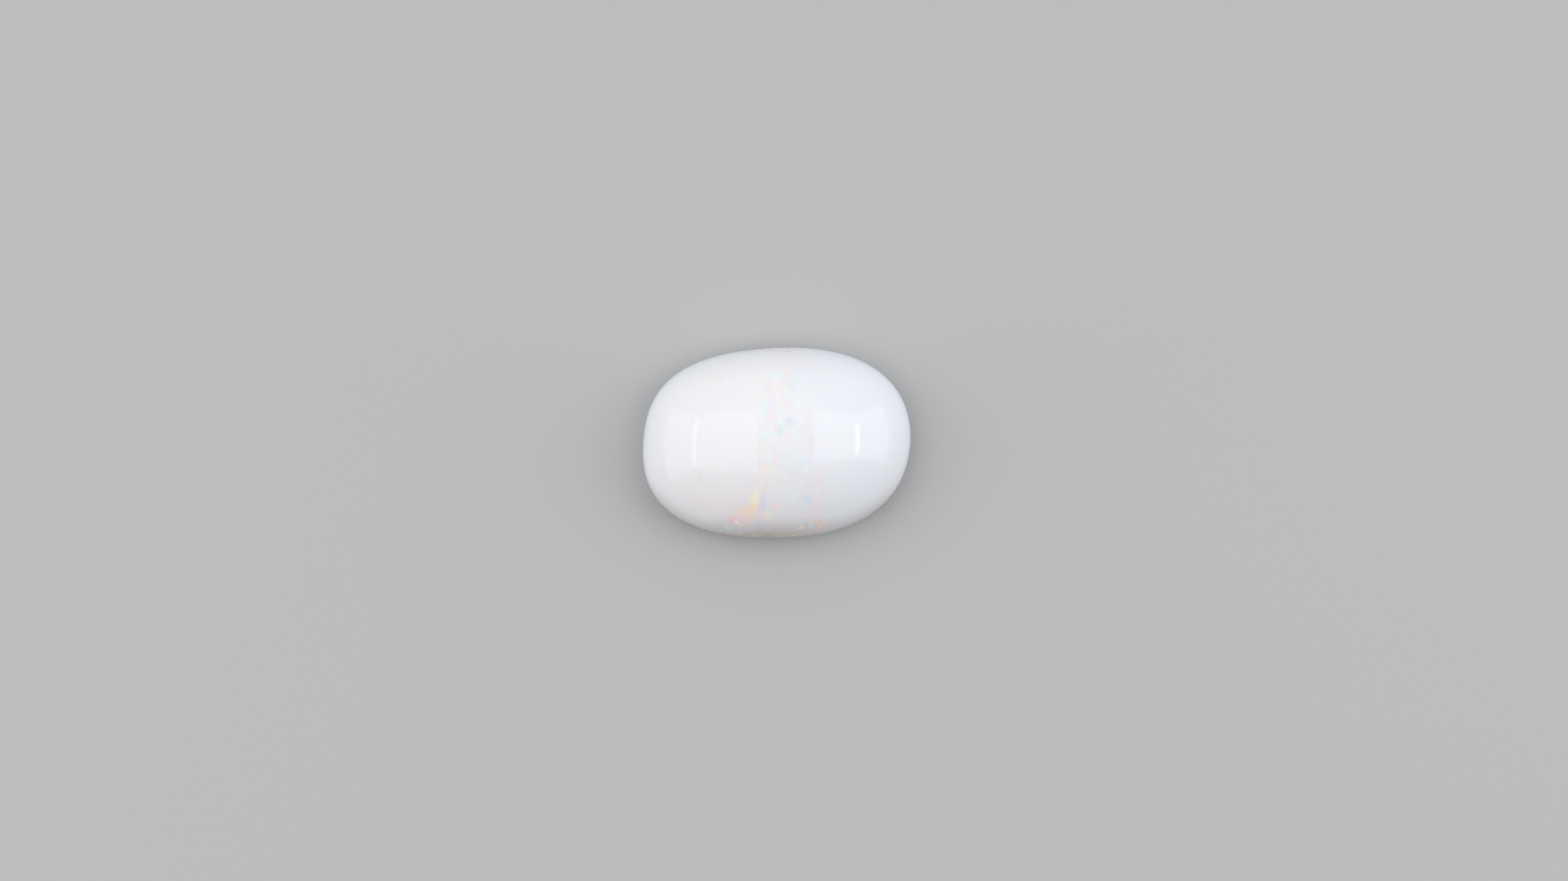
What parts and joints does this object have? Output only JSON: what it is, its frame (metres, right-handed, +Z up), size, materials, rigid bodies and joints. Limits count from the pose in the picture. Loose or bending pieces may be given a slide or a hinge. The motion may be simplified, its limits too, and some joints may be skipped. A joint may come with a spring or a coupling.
{
  "type": "opal cabochon",
  "caption": "Polished oval white opal with a high dome, thin girdle and flat bevelled back, milky with pale flecks of colour; a loose stone for setting or display.",
  "frame": {"origin": "middle of the flat back that the stone rests on, under the middle of its outline", "axes": "+X along the stone's length, +Y across its width, +Z up out of the top of the dome"},
  "size_m": [0.014, 0.01, 0.0052],
  "materials": {
    "opal": "polished"
  },
  "bodies": {
    "root": {"opal": "opal"}
  },
  "joints": []
}
